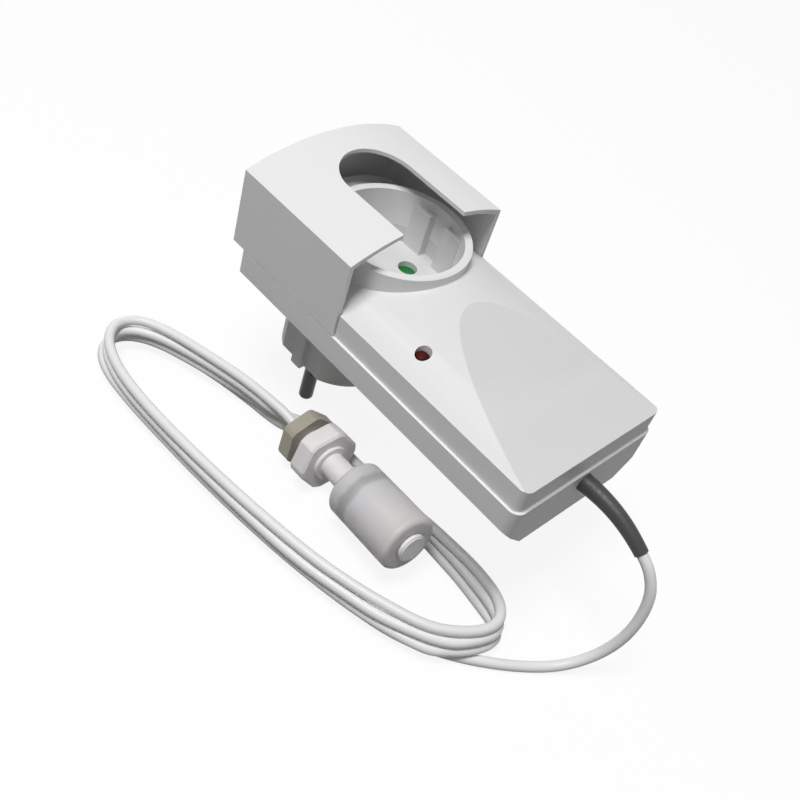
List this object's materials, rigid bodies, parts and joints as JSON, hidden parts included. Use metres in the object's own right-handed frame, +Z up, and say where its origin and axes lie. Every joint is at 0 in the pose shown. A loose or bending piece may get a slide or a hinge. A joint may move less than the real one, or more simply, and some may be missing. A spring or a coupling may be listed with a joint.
{
  "type": "water leak detector",
  "caption": "Plug-through mains adapter with a locking hood over its socket, a lamp and a cable to a float switch.",
  "frame": {"origin": "the plug's axis on the plug's face, at the roots of the two pins", "axes": "+X along the housing towards the cable end, +Y across it along the line of the pins, +Z up, away from the pins"},
  "size_m": [0.1806, 0.0925, 0.0845],
  "materials": {
    "housing_plastic": "fine matt moulded plastic",
    "hood_plastic": "fine matt moulded plastic",
    "plug_plastic": "matt moulded plastic",
    "socket_plastic": "matt moulded plastic",
    "shutter_plastic": "matt green plastic",
    "pin_metal": "nickel plated",
    "contact_brass": "plain brass strip",
    "spring_steel": "nickel plated spring strip",
    "board_laminate": "green lacquered glass-fibre board",
    "relay_case": "black plastic",
    "transformer_case": "black potted block",
    "capacitor_sleeve": "printed shrink sleeve left plain",
    "film_case": "yellow plastic",
    "fuse_glass": "clear tube",
    "terminal_plastic": "green plastic",
    "led_red": "dark red tinted dome",
    "wire_sleeve": "plain insulated wire",
    "screw_steel": "zinc plated",
    "boot_rubber": "dark grey flexible boot",
    "cable_white": "white round cable sheath",
    "sensor_plastic": "white moulded plastic",
    "clip_plastic": "white moulded plastic",
    "float_plastic": "milky moulded plastic",
    "magnet_ferrite": "sintered ferrite",
    "reed_glass": "clear green tube",
    "nut_plastic": "olive grey moulded plastic"
  },
  "bodies": {
    "housing": {"lower_shell": "housing_plastic", "upper_shell": "housing_plastic", "plug_body": "plug_plastic", "plug_pin_left": "pin_metal", "plug_pin_right": "pin_metal", "plug_earth_strip_back": "spring_steel", "plug_earth_strip_front": "spring_steel", "socket_insert": "socket_plastic", "shutter_washer": "screw_steel", "contact_sleeve_left": "contact_brass", "contact_sleeve_right": "contact_brass", "earth_strap": "contact_brass", "earth_clip_back": "spring_steel", "earth_clip_front": "spring_steel", "circuit_board": "board_laminate", "relay": "relay_case", "transformer": "transformer_case", "electrolytic_capacitors": "capacitor_sleeve", "film_capacitor": "film_case", "fuse": "fuse_glass", "terminal_block": "terminal_plastic", "red_led": "led_red", "inner_wires": "wire_sleeve", "housing_screws": "screw_steel", "strain_relief_boot": "boot_rubber", "inner_cable": "cable_white", "cable_clamp": "plug_plastic", "sensor_stem": "sensor_plastic", "reed_switch": "reed_glass", "retaining_clip": "clip_plastic", "cable_lead": "cable_white", "cable_tail": "cable_white", "cable_coil": "cable_white"},
    "hood": {"plug_lock_hood": "hood_plastic"},
    "shutter": {"socket_shutter": "shutter_plastic"},
    "float": {"float_body": "float_plastic", "ring_magnet": "magnet_ferrite"},
    "nut": {"sensor_nut": "nut_plastic"}
  },
  "joints": [
    {"name": "hood_slide", "type": "slide", "parent": "housing", "child": "hood", "axis": [-1, 0, 0], "range_m": [0, 0.034]},
    {"name": "shutter_turn", "type": "hinge", "parent": "housing", "child": "shutter", "pos_m": [0.0095, 0, 0.0335], "axis": [0, 0, 1], "range_deg": [0, 40], "stiffness_Nm_per_rad": 0.002},
    {"name": "float_slide", "type": "slide", "parent": "housing", "child": "float", "axis": [-0.987, 0.0913, -0.1321], "range_m": [0, 0.0103]},
    {"name": "nut_turn", "type": "hinge", "parent": "housing", "child": "nut", "pos_m": [0.02032, -0.02724, -0.00985], "axis": [0.987, -0.0913, 0.1321], "continuous": true}
  ]
}
